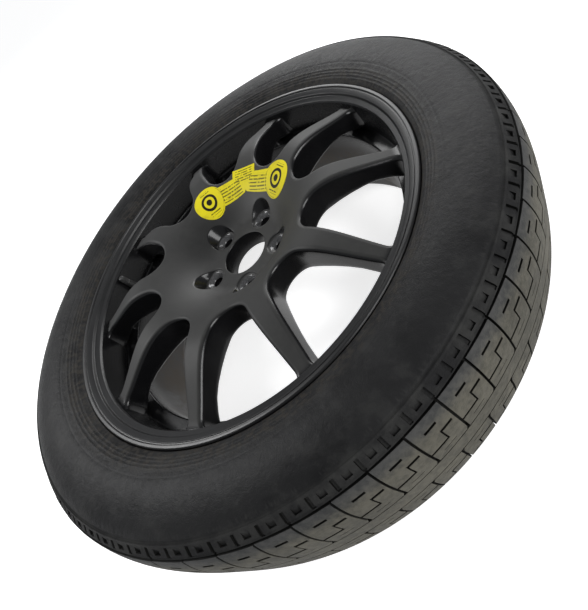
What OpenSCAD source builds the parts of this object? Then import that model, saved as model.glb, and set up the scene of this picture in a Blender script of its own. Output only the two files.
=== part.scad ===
// Temporary spare wheel: a narrow tyre on a cast ten-spoke wheel, with its valve
// and a plain round-ended sticker on the face. The wheel lies on its inboard side.
// Heights in the profiles run from the wheel's centre plane; the part's origin is
// the middle of the hub face, and +Z points outboard along the axle.

/* [Tyre] */
// Diameter over the middle of the tread
tyre_d = 777; // [770:1:800]
// Share of the way from the rim to the tread at which the casing is widest
widest_at = 0.46; // [0.44:0.002:0.49]
// Width of the casing at its widest
casing_w = 197; // [190:0.5:202]
// Thickness of the sidewall
sidewall_t = 8; // [6:0.5:10]
// Thickness of rubber and belts under the tread
tread_t = 15; // [12:0.5:18]
// How far the shoulder grooves lie inside the casing's round line
shoulder_inset = 2.6; // [1:0.2:4]
// Fall of the tread from its middle to a shoulder groove
crown_drop = 12.2; // [10:0.2:14]
// How late the tread falls: 2 is an even curve, more is flat with round shoulders
crown_power = 3.4; // [2:0.2:4]
// Width of the sloped band between a shoulder groove and the sidewall, along the radius
shoulder_band_h = 14.8; // [12:0.1:18]
// Width of the plain rib round the middle of the tread
centre_rib_w = 23.2; // [16:0.2:30]
// Depth of the tread grooves
groove_depth = 5.5; // [3:0.5:7]
// Width of the tread grooves
groove_w = 2.4; // [1.6:0.1:3]
// Number of tread blocks round each side
blocks = 56; // [40:2:64]
// Angle of the first cross groove on the outboard side
tread_start = -1.5; // [-3:0.1:3]
// Angle from an outboard cross groove to the next inboard one
tread_stagger = 2.9; // [0:0.1:6]
// Width of the stepped cut in each block
step_cut_w = 1.8; // [1.2:0.1:2.4]
// Depth of the stepped cut
step_cut_depth = 4; // [2:0.5:5]
// Number of short slots for each pair of tread blocks
slots_per_pair = 3; // [2:1:4]
// Width of a shoulder slot
slot_w = 1.8; // [1:0.1:2.5]
// Depth of a shoulder slot
slot_depth = 1.8; // [1:0.1:3]

/* [Rim] */
// Nominal diameter, across the bead seats
rim_d = 508; // [504:0.5:510]
// Nominal width, between the flange walls
rim_w = 152.4; // [148:0.2:156]
// Height of the flange above the bead seat
flange_h = 17.5; // [16:0.1:18]
// Radius of the flange's outward curl
flange_curl_r = 9; // [8:0.1:9.4]
// Distance from the flange wall to the flange edge
flange_out = 12.7; // [11.5:0.1:13]
// Diameter inside the front lip
lip_d = 497; // [494:0.5:498]
// Diameter over the well
well_d = 465; // [462:0.2:465.4]
// Width of the well
well_w = 73; // [66:1:78]
// Thickness of the barrel at the bead seats
barrel_t = 6.7; // [5:0.1:8]
// Thickness of the well's floor and of its outboard wall
well_t = 4.4; // [4:0.1:5]

/* [Disc] */
// Distance from the centre plane to the hub face
wheel_offset = 39; // [34:0.5:44]
// Thickness of the hub at the bore
hub_t = 24; // [20:0.5:28]
// Diameter of the pad that seats on the car
hub_pad_d = 156; // [148:1:160]
// Height of the spokes' crest above the centre plane
crest_z = 100; // [98:0.5:102]
// Radius of the hub's flat front, where the dish starts to rise
hub_flat_r = 50; // [46:0.5:54]
// Radius at which the spokes are highest
crest_r = 148; // [144:1:152]
// Number of spokes
spokes = 10; // [8:1:10]
// Thickness of a spoke along the axle
spoke_t = 33; // [28:1:36]
// Width of a spoke beside the windows' inner ends
spoke_w_inner = 33; // [28:1:36]
// Width of a spoke at the barrel
spoke_w_outer = 20; // [16:1:24]
// Distance from the axis to the windows' inner ends
window_r = 119; // [114:1:124]
// Radius of the corners where a spoke meets the barrel
window_corner_r = 12; // [8:1:18]

/* [Hub] */
// Diameter of the centre bore
bore_d = 66.6; // [63.4:0.1:67.1]
// Diameter of the bolt circle
bolt_circle_d = 112; // [108:0.1:114.3]
// Number of wheel bolts
bolts = 5; // [4:1:5]
// Diameter of a bolt hole
bolt_hole_d = 15; // [14:0.1:16]
// Diameter of a tapered bolt seat at its mouth
seat_d = 25; // [23:0.5:26]
// Depth of the taper
seat_depth = 5; // [4:0.1:6]
// Diameter of the pocket round a bolt, at its floor
pocket_d = 31; // [28:0.5:32]
// Growth of the pocket's radius for each mm above its floor
pocket_flare = 0.42; // [0.1:0.02:0.5]
// Height of a pocket's floor above the hub face
pocket_floor = 22; // [18:0.5:22.5]

/* [Valve] */
// Distance from the axle to the valve
valve_r = 240.7; // [240.5:0.1:240.7]
// Angle of the valve round the wheel
valve_angle = 178; // [176:1:184]
// Diameter of the valve hole
valve_hole_d = 11.5; // [11.3:0.1:12]
// Height of the stem's tip above the well's wall
stem_h = 33.5; // [31:0.5:35]
// Diameter of the stem's threaded tip
stem_d = 7.7; // [7.5:0.05:8]
// Diameter of the cap
cap_d = 10; // [9.4:0.1:11]
// Length of the cap
cap_h = 12.5; // [11:0.5:14]
// Coils in the valve spring
spring_coils = 6; // [4:1:7]

/* [Sticker] */
// Distance from the axle to the middle of the sticker's round ends
sticker_r = 101.5; // [98:0.5:104]
// Half of the angle between the two round ends
sticker_half_angle = 35.5; // [32:0.5:40]
// Radius of a round end
sticker_end_r = 25.5; // [22:0.5:27]
// Width of the curved band between them
sticker_band_w = 26; // [20:0.5:30]
// Width of the tab on the band's outer side
sticker_tab_w = 41; // [30:1:44]
// Height of the tab
sticker_tab_h = 14; // [8:0.5:15]
// Thickness of the sticker
sticker_t = 0.3; // [0.2:0.1:0.6]

/* [Hidden] */

round_fn = 96;
small_fn = 40;
fit_gap = 0.3;
run_gap = 0.05;
sticker_gap = 0.02;
wide = 1000;

// Tyre
tyre_r = tyre_d / 2;
bead_r = rim_d / 2 + fit_gap;
bead_w = 22;
casing_c = bead_r + widest_at * (tyre_r - bead_r);
casing_r = casing_w / 2;
shoulder_r = tyre_r - crown_drop;
tread_w = 2 * (sqrt(pow(casing_r, 2) - pow(shoulder_r - casing_c, 2)) - shoulder_inset);
ridge_r = shoulder_r - shoulder_band_h;
ridge_z = sqrt(pow(casing_r, 2) - pow(ridge_r - casing_c, 2));
shoulder_band_w = ridge_z - tread_w / 2;
band_len = norm([shoulder_band_h, shoulder_band_w]);
band_dir = [shoulder_band_h, -shoulder_band_w] / band_len;
band_out = [shoulder_band_w, shoulder_band_h] / band_len;
block_angle = 360 / blocks;
slot_angle = 2 * block_angle / slots_per_pair;
slot_start = 4.6;
slot_end = 3;

// Rim
seat_r = rim_d / 2;
flange_r = seat_r + flange_h;
wall_z = rim_w / 2;
edge_z = wall_z + flange_out;
lip_r = lip_d / 2;
barrel_in_r = seat_r - barrel_t;
well_out_r = well_d / 2;
well_in_r = well_out_r - well_t;
ledge_z = well_w / 2;
ledge_top_z = ledge_z + well_t;
lip_z = edge_z - 8.5;
curl_r0 = flange_r - 9.5;

// Disc: heights from the centre plane
hub_face_z = wheel_offset;
hub_front_z = hub_face_z + hub_t;
bore_r = bore_d / 2;
disc_r = (barrel_in_r + seat_r) / 2;
disc_edge_z = 72;
half_gap = 180 / spokes;

// Valve: heights from the well wall's outboard side
stem_r = stem_d / 2;
neck_r = stem_r - 0.65;
cap_r = cap_d / 2;
cap_wall = 1.1;
cap_base = stem_h + 3.5 - cap_h;
hole_in_stem_r = 2.65;
chamber_r = 2.1;
skirt_r = 6.3;
skirt_h = 24;
bulb_r = 7.9;
bulb_h = 9;
stem_foot = -(well_t + bulb_h - 1);
plug_top = stem_h - 1;
plug_h = 6;
barrel_end = plug_top - plug_h - 10.5;
gasket_h = 2.5;
gasket_z = plug_top - plug_h - gasket_h - 0.2;
barrel_r = 1.5;
pin_r = 0.55;
pin_top = stem_h - 0.7;
cup_r = 1.7;
cup_h = 2.4;
cup_top = barrel_end;
seat_z = barrel_end - cup_h - 9;
seat_h = 1;
spring_wire_r = 0.22;
spring_r = 1.25;
spring_top = cup_top - cup_h;
spring_foot = seat_z + seat_h;
spring_sides = 8;
spring_rings = spring_coils * 10;

function bezier(p, t) =
    pow(1 - t, 3) * p[0] + 3 * pow(1 - t, 2) * t * p[1] + 3 * (1 - t) * t * t * p[2] + pow(t, 3) * p[3];

// The face dishes up from the hub to the spokes' crest, then falls to the barrel
dish = [[hub_flat_r, hub_front_z], [hub_flat_r + 22, hub_front_z - 1],
        [hub_flat_r + 36, crest_z - 2], [crest_r, crest_z]];
fall = [[crest_r, crest_z], [crest_r + 30, crest_z],
        [crest_r + 57, disc_edge_z + 12], [disc_r, disc_edge_z]];
dish_steps = 9;
fall_steps = 7;
face_line = concat([for (i = [0 : dish_steps]) bezier(dish, i / dish_steps)],
                   [for (i = [1 : fall_steps]) bezier(fall, i / fall_steps)]);

function crown_at(z) = tyre_r - crown_drop * pow(abs(z) / (tread_w / 2), crown_power);

function turn(a, p) = [p[0] * cos(a) - p[1] * sin(a), p[0] * sin(a) + p[1] * cos(a)];

module from_centre_plane() {
    translate([0, 0, -hub_face_z]) children();
}

module both_sides_2d() {
    children();
    mirror([0, 1]) children();
}

// A thin wedge round one angle, as thick as asked at the tread's edge
module radial_cut(angle, thick) {
    sweep = thick / shoulder_r * 180 / PI;
    rotate([0, 0, angle - sweep / 2]) rotate_extrude(angle = sweep, $fn = round_fn) children();
}

// The tread's crown as flats that meet on its curve, each a plain cone round the tyre
module crown_2d(drop = 0) {
    places = [1.25, 1, 0.8, 0.6, 0.35, 0, -0.35, -0.6, -0.8, -1, -1.25];
    polygon(concat([[bead_r - 5, casing_w]],
                   [for (p = places) [crown_at(p * tread_w / 2) - drop, p * tread_w / 2]],
                   [[bead_r - 5, -casing_w]]));
}

// The casing's round section, trimmed by the crown and by the two shoulder bands
module tyre_outside_2d() {
    slope = shoulder_band_w / shoulder_band_h;
    intersection() {
        translate([casing_c, 0]) circle(casing_r, $fn = round_fn);
        crown_2d();
        polygon([for (p = [[bead_r, -1], [tyre_r, -1], [tyre_r, 1], [bead_r, 1]])
                    [p[0], p[1] * (ridge_z + slope * (ridge_r - p[0]))]]);
    }
}

// The air space: the casing's round line less the sidewall, narrowed between the beads
module tyre_inside_2d() {
    intersection() {
        translate([casing_c, 0]) circle(casing_r - sidewall_t, $fn = round_fn);
        crown_2d(tread_t);
        both_sides_2d()
            polygon([[bead_r - 5, -1], [bead_r - 5, wall_z - bead_w], [bead_r + 8, wall_z - bead_w],
                     [bead_r + 20, wall_z - 13], [bead_r + 28, wall_z], [bead_r + 28, wide],
                     [wide, wide], [wide, -1]]);
    }
}

// What the rim's flange takes out of the tyre's bead
module flange_seat_2d() {
    translate([curl_r0, wall_z + flange_curl_r]) circle(flange_curl_r + fit_gap, $fn = small_fn);
    translate([bead_r - 1, wall_z - fit_gap]) square([curl_r0 - bead_r + 1, wide]);
    polygon([[bead_r - 1, wall_z - fit_gap - 2.4], [bead_r, wall_z - fit_gap - 2.4],
             [bead_r + 2.4, wall_z - fit_gap], [bead_r - 1, wall_z]]);
}

module ring_grooves_2d() {
    translate([shoulder_r, tread_w / 2]) rotate(atan2(shoulder_band_h / 2, shoulder_band_w))
        square([2 * groove_depth, groove_w], center = true);
    translate([tyre_r, centre_rib_w / 2]) square([2 * groove_depth, groove_w * 0.7], center = true);
}

// From a centre groove out to a shoulder groove, at an even depth below the crown
module block_groove_2d() {
    difference() {
        translate([shoulder_r - groove_depth - 2, centre_rib_w / 2])
            square([crown_drop + groove_depth + 6, tread_w / 2 - centre_rib_w / 2]);
        crown_2d(groove_depth);
    }
}

// A stepped cut and a short straight one beside it, drawn flat: along the tread,
// then across it; the tyre's blocks repeat them
module block_cuts_2d() {
    reach = block_angle * PI / 180 * shoulder_r;
    half_w = step_cut_w / 2;
    low = -0.108 * tread_w / 2;
    high = -low;
    turn_at = 0.55 * reach;
    polygon([[0, low - half_w], [turn_at + half_w, low - half_w], [turn_at + half_w, high - half_w],
             [0.9 * reach, high - half_w], [0.9 * reach, high + half_w], [turn_at - half_w, high + half_w],
             [turn_at - half_w, low + half_w], [0, low + half_w]]);
    translate([0.3 * reach, 0.28 * tread_w / 2 - half_w]) square([0.34 * reach, 2 * half_w]);
}

// The flat cuts set into the outboard tread at right angles to the crown
module block_cuts(angle) {
    across = 0.54 * tread_w / 2;
    lean = atan((crown_at(across - 1) - crown_at(across + 1)) / 2);
    rotate([0, 0, angle + block_angle / 2]) translate([crown_at(across), 0, across]) rotate([0, 90 - lean, 0])
        rotate([0, 0, 90]) translate([-block_angle * PI / 360 * shoulder_r, 0, -step_cut_depth])
            linear_extrude(2 * step_cut_depth) block_cuts_2d();
}

module shoulder_slot_2d() {
    ridge = [ridge_r, ridge_z];
    from = ridge + slot_start * band_dir;
    to = ridge + (band_len - slot_end) * band_dir;
    polygon([from + 3 * band_out, from - slot_depth * band_out,
             to - slot_depth * band_out, to + 3 * band_out]);
}

module tyre() {
    color([0.13, 0.13, 0.135]) from_centre_plane() difference() {
        rotate_extrude($fn = round_fn) difference() {
            tyre_outside_2d();
            tyre_inside_2d();
            both_sides_2d() flange_seat_2d();
            both_sides_2d() ring_grooves_2d();
        }
        for (i = [0 : blocks - 1]) {
            radial_cut(tread_start + i * block_angle, groove_w) block_groove_2d();
            radial_cut(tread_start + tread_stagger + i * block_angle, groove_w)
                mirror([0, 1]) block_groove_2d();
            block_cuts(tread_start + i * block_angle);
            rotate([180, 0, 0]) block_cuts(-tread_start - tread_stagger - i * block_angle);
        }
        for (i = [0 : blocks * slots_per_pair / 2 - 1]) {
            radial_cut(tread_start + i * slot_angle, slot_w) shoulder_slot_2d();
            radial_cut(tread_start + tread_stagger + i * slot_angle, slot_w)
                mirror([0, 1]) shoulder_slot_2d();
        }
    }
}

module flange_curl_2d() {
    intersection() {
        translate([curl_r0, wall_z + flange_curl_r]) circle(flange_curl_r, $fn = small_fn);
        translate([curl_r0, wall_z]) square(flange_curl_r);
    }
}

module front_barrel_2d() {
    flange_curl_2d();
    polygon([[well_in_r, -1], [well_in_r, ledge_top_z], [barrel_in_r, ledge_top_z],
             [barrel_in_r, lip_z - 2],
             [lip_r, lip_z], [lip_r + 7, lip_z + 2], [lip_r + 8, lip_z + 5], [flange_r - 8, edge_z - 1],
             [flange_r - 7.6, edge_z - 2], [flange_r - 6.2, edge_z - 2], [flange_r - 5.8, edge_z],
             [flange_r - 2, edge_z], [flange_r - 0.5, edge_z - 1.5], [flange_r - 0.5, wall_z + flange_curl_r],
             [curl_r0, wall_z + flange_curl_r], [curl_r0, wall_z], [seat_r + 2, wall_z], [seat_r, wall_z - 2],
             [seat_r, ledge_z + 7], [seat_r - 1.4, ledge_z + 4], [seat_r - 1.4, ledge_z],
             [well_out_r, ledge_z], [well_out_r, -1]]);
}

module back_barrel_2d() {
    flange_curl_2d();
    polygon([[well_in_r, -1], [well_in_r, ledge_top_z], [barrel_in_r, ledge_top_z + 5],
             [barrel_in_r, edge_z - 9],
             [barrel_in_r + 2, edge_z - 3], [curl_r0, edge_z], [flange_r - 2, edge_z],
             [flange_r - 0.5, edge_z - 1.5], [flange_r - 0.5, wall_z + flange_curl_r],
             [curl_r0, wall_z + flange_curl_r], [curl_r0, wall_z], [seat_r + 2, wall_z], [seat_r, wall_z - 2],
             [seat_r, ledge_z + 9], [well_out_r, ledge_z], [well_out_r, -1]]);
}

module disc_2d() {
    back_z = crest_z - spoke_t;
    polygon(concat([[bore_r, hub_face_z], [bore_r, hub_front_z - 1], [bore_r + 1, hub_front_z]], face_line,
                   [[disc_r, ledge_z + 2], [barrel_in_r - 10, ledge_top_z + 4], [crest_r + 60, back_z - 5],
                    [crest_r + 25, back_z], [crest_r - 15, back_z - 2], [hub_pad_d / 2 + 24, back_z - 8],
                    [hub_pad_d / 2 + 6, hub_face_z + 6], [hub_pad_d / 2, hub_face_z]]));
}

// One window: a round inner end, straight sides along the two spokes, and
// rounded corners at the barrel
module window_2d() {
    end_r = disc_r + 1;
    inner_spoke = turn(half_gap, [window_r + 27, -spoke_w_inner / 2]);
    outer_spoke = turn(half_gap, [barrel_in_r, -spoke_w_outer / 2]);
    side = (outer_spoke - inner_spoke) / norm(outer_spoke - inner_spoke);
    out = [-side[1], side[0]];
    side_dist = out * inner_spoke;
    round_c = (window_r + side_dist) / (1 + out[0]);
    round_r = round_c - window_r;
    corner_dist = side_dist - window_corner_r;
    corner = corner_dist * out + sqrt(pow(end_r - window_corner_r, 2) - pow(corner_dist, 2)) * side;
    translate([round_c, 0]) circle(round_r, $fn = round_fn);
    polygon([[round_c, 0] + round_r * out, corner + window_corner_r * out, corner,
             [corner[0], -corner[1]], [corner[0], -corner[1]] + window_corner_r * [out[0], -out[1]],
             [round_c, 0] + round_r * [out[0], -out[1]]]);
    for (s = [-1, 1]) translate([corner[0], s * corner[1]]) circle(window_corner_r, $fn = small_fn);
    intersection() {
        circle(end_r, $fn = round_fn);
        polygon([corner, 1.2 * corner, [1.2 * corner[0], -1.2 * corner[1]], [corner[0], -corner[1]]]);
    }
}

module disc() {
    difference() {
        rotate_extrude($fn = round_fn) disc_2d();
        for (i = [0 : spokes - 1]) rotate([0, 0, 2 * i * half_gap])
            translate([0, 0, hub_face_z - 20]) linear_extrude(crest_z - hub_face_z + 40) window_2d();
    }
}

module bolt_holes() {
    for (i = [0 : bolts - 1]) rotate([0, 0, i * 360 / bolts])
        translate([bolt_circle_d / 2, 0, hub_face_z]) {
            translate([0, 0, -1]) cylinder(h = pocket_floor, d = bolt_hole_d, $fn = small_fn);
            translate([0, 0, pocket_floor - seat_depth])
                cylinder(h = seat_depth, d1 = bolt_hole_d, d2 = seat_d, $fn = small_fn);
            translate([0, 0, pocket_floor])
                cylinder(h = hub_t, d1 = pocket_d, d2 = pocket_d + 2 * pocket_flare * hub_t, $fn = small_fn);
        }
}

module wheel() {
    color([0.1, 0.1, 0.105]) from_centre_plane() difference() {
        union() {
            rotate_extrude($fn = round_fn) {
                front_barrel_2d();
                mirror([0, 1]) back_barrel_2d();
            }
            disc();
        }
        bolt_holes();
        rotate([0, 0, valve_angle]) translate([valve_r, 0, ledge_z - 5])
            cylinder(h = well_t + 10, d = valve_hole_d, $fn = small_fn);
    }
}

module sticker_2d() {
    step = 2 * sticker_half_angle / 12;
    difference() {
        intersection() {
            circle(sticker_r - 4.5 + sticker_band_w / 2, $fn = round_fn);
            polygon(concat([[0, 0]],
                           [for (i = [0 : 12])
                               turn(90 - sticker_half_angle + i * step, [2 * sticker_r, 0])]));
        }
        circle(sticker_r - 4.5 - sticker_band_w / 2, $fn = round_fn);
    }
    for (s = [-1, 1]) rotate(90 + s * sticker_half_angle)
        translate([sticker_r, 0]) circle(sticker_end_r, $fn = round_fn);
    translate([-sticker_tab_w / 2, sticker_r - 10])
        square([sticker_tab_w, sticker_band_w / 2 + 5.5 + sticker_tab_h]);
}

module sticker() {
    color([0.93, 0.88, 0.12]) from_centre_plane() intersection() {
        rotate_extrude($fn = round_fn)
            polygon(concat([for (p = face_line) p + [0, sticker_gap]],
                           [for (i = [len(face_line) - 1 : -1 : 0])
                               face_line[i] + [0, sticker_gap + sticker_t]]));
        translate([0, 0, hub_face_z]) linear_extrude(wide / 4) sticker_2d();
    }
}

// A place on the valve's axis, at a height above the well's wall
module at_valve(h) {
    from_centre_plane() rotate([0, 0, valve_angle]) translate([valve_r, 0, ledge_top_z + h]) children();
}

module valve_body() {
    neck_hole_r = valve_hole_d / 2 - run_gap;
    color([0.08, 0.08, 0.08]) at_valve(0) rotate_extrude($fn = small_fn)
        polygon([[neck_r, skirt_h], [neck_r, stem_foot], [6, -(well_t + bulb_h)],
                 [bulb_r - 1, -(well_t + bulb_h)],
                 [bulb_r, -(well_t + bulb_h) + 1.5], [bulb_r - 1.5, -well_t - run_gap],
                 [neck_hole_r, -well_t - run_gap], [neck_hole_r, run_gap], [skirt_r, run_gap],
                 [skirt_r, 3], [5.7, skirt_h - 3], [5.2, skirt_h]]);
}

module valve_stem() {
    color([0.72, 0.58, 0.3]) at_valve(0) rotate_extrude($fn = small_fn)
        polygon([[0.9, stem_foot], [neck_r, stem_foot], [neck_r, skirt_h], [stem_r, skirt_h],
                 [stem_r, stem_h - 0.6], [stem_r - 0.6, stem_h], [hole_in_stem_r + run_gap, stem_h],
                 [hole_in_stem_r + run_gap, plug_top - plug_h - 0.4],
                 [chamber_r + run_gap, plug_top - plug_h - 1],
                 [chamber_r + run_gap, seat_z], [0.9, seat_z - 1.2]]);
}

module core_plug() {
    color([0.75, 0.62, 0.32]) at_valve(0) difference() {
        union() {
            translate([0, 0, plug_top - plug_h]) cylinder(h = plug_h, r = hole_in_stem_r, $fn = small_fn);
            translate([0, 0, barrel_end])
                cylinder(h = plug_top - plug_h - barrel_end + 0.1, r = barrel_r, $fn = small_fn);
        }
        translate([0, 0, barrel_end - 1]) cylinder(h = plug_top + 2 - barrel_end, r = 0.9, $fn = small_fn);
        for (s = [-1, 1]) translate([s * 2, 0, plug_top - 1]) cube([1.6, 6, 2.2], center = true);
    }
}

module core_gasket() {
    color([0.8, 0.25, 0.2]) at_valve(gasket_z) rotate_extrude($fn = small_fn)
        polygon([[barrel_r, 0], [chamber_r - 0.1, 0], [chamber_r, gasket_h], [barrel_r, gasket_h]]);
}

module core_pin() {
    color([0.78, 0.78, 0.75]) at_valve(0) {
        translate([0, 0, seat_z - 0.8]) cylinder(h = pin_top - 0.8 - seat_z + 0.8, r = pin_r, $fn = small_fn);
        translate([0, 0, pin_top - 0.8]) cylinder(h = 0.8, r = 0.8, $fn = small_fn);
    }
}

module core_cup() {
    color([0.2, 0.2, 0.2]) at_valve(cup_top - cup_h) rotate_extrude($fn = small_fn)
        polygon([[pin_r, 0], [cup_r, 0], [cup_r, cup_h - 0.4], [cup_r - 0.4, cup_h - run_gap],
                 [pin_r, cup_h - run_gap]]);
}

function spring_point(i, j) =
    let (a = 360 * spring_coils * i / spring_rings, b = 360 * j / spring_sides,
         r = spring_r + spring_wire_r * cos(b),
         rise = spring_top - spring_foot - 2 * spring_wire_r)
    [r * cos(a), r * sin(a), spring_wire_r + rise * i / spring_rings + spring_wire_r * sin(b)];

module core_spring() {
    points = [for (i = [0 : spring_rings], j = [0 : spring_sides - 1]) spring_point(i, j)];
    sides = [for (i = [0 : spring_rings - 1], j = [0 : spring_sides - 1])
        [i * spring_sides + j, i * spring_sides + (j + 1) % spring_sides,
         (i + 1) * spring_sides + (j + 1) % spring_sides, (i + 1) * spring_sides + j]];
    ends = [[for (j = [spring_sides - 1 : -1 : 0]) j],
            [for (j = [0 : spring_sides - 1]) spring_rings * spring_sides + j]];
    color([0.7, 0.7, 0.72]) at_valve(spring_foot) polyhedron(points, concat(sides, ends));
}

module spring_seat() {
    color([0.75, 0.62, 0.32]) at_valve(seat_z) rotate_extrude($fn = small_fn)
        polygon([[pin_r + 0.15, 0], [chamber_r, 0], [chamber_r, seat_h], [pin_r + 0.15, seat_h]]);
}

module valve_cap() {
    top = cap_base + cap_h;
    ribs = 18;
    color([0.06, 0.06, 0.06]) at_valve(0) {
        rotate_extrude($fn = small_fn)
            polygon([[stem_r + 2 * run_gap, cap_base], [cap_r, cap_base], [cap_r, cap_base + 1.6],
                     [cap_r - 0.5, cap_base + 2.2], [cap_r - 0.6, top - 1.2], [cap_r - 1.6, top], [0, top],
                     [0, stem_h + 1.4], [stem_r + 2 * run_gap, stem_h + 1.4]]);
        for (i = [0 : ribs - 1]) rotate([0, 0, i * 360 / ribs])
            translate([cap_r - 0.65, 0, cap_base + 2]) cylinder(h = cap_h - 4, r = 0.4, $fn = 16);
    }
}

module cap_seal() {
    color([0.15, 0.15, 0.15]) at_valve(stem_h + run_gap) rotate_extrude($fn = small_fn)
        polygon([[1.4, 0], [stem_r, 0], [stem_r, 1.4 - 2 * run_gap], [1.4, 1.4 - 2 * run_gap]]);
}

tyre();
wheel();
sticker();
valve_body();
valve_stem();
core_plug();
core_gasket();
core_pin();
core_cup();
core_spring();
spring_seat();
valve_cap();
cap_seal();
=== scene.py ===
import math

import bpy
from mathutils import Matrix, Vector
from mathutils.geometry import delaunay_2d_cdt


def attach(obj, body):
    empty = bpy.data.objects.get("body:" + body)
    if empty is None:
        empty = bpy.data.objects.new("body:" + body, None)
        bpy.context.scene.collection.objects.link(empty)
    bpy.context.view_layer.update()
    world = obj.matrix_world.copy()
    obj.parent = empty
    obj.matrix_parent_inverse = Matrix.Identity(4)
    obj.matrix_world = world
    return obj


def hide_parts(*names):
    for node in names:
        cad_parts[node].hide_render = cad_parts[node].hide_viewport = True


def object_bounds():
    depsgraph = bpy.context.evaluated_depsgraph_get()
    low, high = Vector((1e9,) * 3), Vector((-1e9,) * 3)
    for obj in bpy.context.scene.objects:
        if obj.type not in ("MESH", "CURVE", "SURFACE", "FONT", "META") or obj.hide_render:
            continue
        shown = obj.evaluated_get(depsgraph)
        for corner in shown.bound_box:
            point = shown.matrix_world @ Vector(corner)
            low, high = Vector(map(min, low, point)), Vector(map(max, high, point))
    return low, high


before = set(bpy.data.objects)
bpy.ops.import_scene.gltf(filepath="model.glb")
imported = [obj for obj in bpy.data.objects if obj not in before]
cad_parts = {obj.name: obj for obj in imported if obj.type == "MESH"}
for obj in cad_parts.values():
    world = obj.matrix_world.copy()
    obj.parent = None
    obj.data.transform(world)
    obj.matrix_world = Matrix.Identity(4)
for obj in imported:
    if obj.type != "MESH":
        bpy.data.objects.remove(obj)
cad_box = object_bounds()

# Sizes are in mm, and heights are from the wheel's centre plane, outboard up.
MM = 0.001
TAU = 2 * math.pi
HUB_FACE = 39.0                             # the shared frame's height starts here

# Tyre
TREAD_R, SHOULDER_Z = 388.5, 75.3           # radius at the crown's middle, height of the shoulder groove
CROWN_DROP, CROWN_POWER = 12.2, 3.4         # fall of the crown from its middle to the shoulder groove
RIB_HALF = 10.9                             # half the width of the centre rib
CASING_R, CASING_AT = 98.3, 316.0           # the sidewall's arc and its centre's distance from the axle
CORNER, RIDGE = (376.3, SHOULDER_Z), (361.5, 87.1)    # (r, z) of the sloped band's two edges
BAND_OUT, BAND_AT = (0.623, 0.782), 293.31  # the way straight out of the band, and its distance that way
GROOVE_WALL = (-0.822, -0.569)              # (r, z) direction down the shoulder groove's outer wall
BLOCK_PAIRS = 28
PITCH = TAU / (2 * BLOCK_PAIRS)
OUTBOARD_START, INBOARD_START = math.radians(-40.1), math.radians(-37.2)

# Heights of the tread's rows from the centre rib out to the shoulder groove
ROW_HEIGHTS = (10.7, 12.7, 17, 21.3, 22.3, 27, 30.9, 34.1, 38, 43, 46.9, 50.3, 55, 60.3, 63.2, 67,
               70.8, 74.4)
# Rows on the sloped band: distance from its corner, share of the groove wall's direction, and rise
BAND_ROWS = ((1.0, 1, 0), (2.4, 0.5, 0), (4.2, 0, 0), (6.6, 0, 0), (9.2, 0, 0), (11.8, 0, 0),
             (14.4, 0, 0), (15.4, 0, 0), (16.6, 0, 0.1), (17.9, 0, 0.45), (18.93, 0, 0))
RIM_ROW = len(ROW_HEIGHTS) - 1              # the row on the tread's side of the shoulder groove
FINE_LINE_ROW, STEP_ROWS, DASH_ROW = 3, (6, 10), 13

# Cuts along the tread, in pitches from the middle of a cross groove, or on the band of a slot
CROSS_HALF, SLOT_HALF = 0.031, 0.052
FINE_LINE, DASH, JOG, STEP_END = (0.272, 0.661), (0.295, 0.638), (0.531, 0.573), 0.895
RAMP = (0.232, 0.435)
GROOVE_DEPTH, SHOULDER_DEPTH, CUT_DEPTH, LINE_DEPTH = 5.5, 5.0, 4.5, 0.6
SLOT_DEPTH, LEDGE_DEPTH, RAMP_DEPTHS = 3.2, 1.2, (3.6, 2.4, 1.2, 0.0)

# Raised and sunk rings on the sidewall: radius, half width, height
SIDEWALL_LINES = ((278.4, 0.9, 0.3), (282.4, 0.8, 0.22), (286.6, 0.8, 0.22), (291.0, 0.9, 0.22),
                  (301.0, 0.9, -0.2), (359.9, 1.3, -0.8))

# Wheel
WINDOWS, BOLTS, BOLT_CIRCLE_R = 10, 5, 56.0
BARREL_IN, DISC_END, DISC_EDGE = 247.3, 248.6, 253.4
FRONT_ROLL, BACK_ROLL, DRAFT = 5.5, 3.0, 1.3
HUB_TOP, BORE_R = 63.0, 33.3
POCKET_R, POCKET_FLOOR, POCKET_FLARE = 15.5, 61.0, 0.42
SEAT_R, SEAT_TOP, SEAT_FOOT, BOLT_HOLE_R = 12.5, 60.8, 55.6, 7.5

# Sticker
DISC_X, DISC_Y, DISC_R = 60.3, 83.6, 23.4
NOTCH, NOTCH_TOP, LOWER_SLOPE = (1.7, 88.9), (0.0, 91.6), 0.325
TAB_FOOT, TAB_TOP, UPPER_SLOPE = (19.7, 109.5), (20.0, 120.8), 0.255

# Valve
VALVE_AT = (240.7, 178.0)                   # distance from the axle, and angle in degrees
LEDGE = 40.9                                # height of the rim's ledge that carries the valve
CAP_TOP, CAP_INSIDE_R, CAP_INSIDE_TOP, CAP_RIBS, RIB_RISE = 37.0, 3.95, 34.9, 18, 0.42

# Camera: the photo's size and the solved camera in pixels, and its place in metres
PHOTO_W, PHOTO_H = 588, 610
FOCAL, CENTRE_X, CENTRE_Y = 417.246, 424.901, 357.466
CAMERA_AT = (0.4140, -0.3504, 0.34695)
SENSOR = 36.0


def polar(radius, degrees):
    a = math.radians(degrees)
    return radius * math.cos(a), radius * math.sin(a)


def turned_by(v, a):
    return Vector((v.x * math.cos(a) - v.y * math.sin(a), v.x * math.sin(a) + v.y * math.cos(a)))


def in_metres(x, y, mid_height):
    """A point given in mm, its height from the wheel's centre plane, as a place in the shared frame."""
    return x * MM, y * MM, (mid_height - HUB_FACE) * MM


def clamp(value, low=0.0, high=1.0):
    return max(low, min(high, value))


def even_angles(n):
    return [TAU * i / n for i in range(n)]


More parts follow.
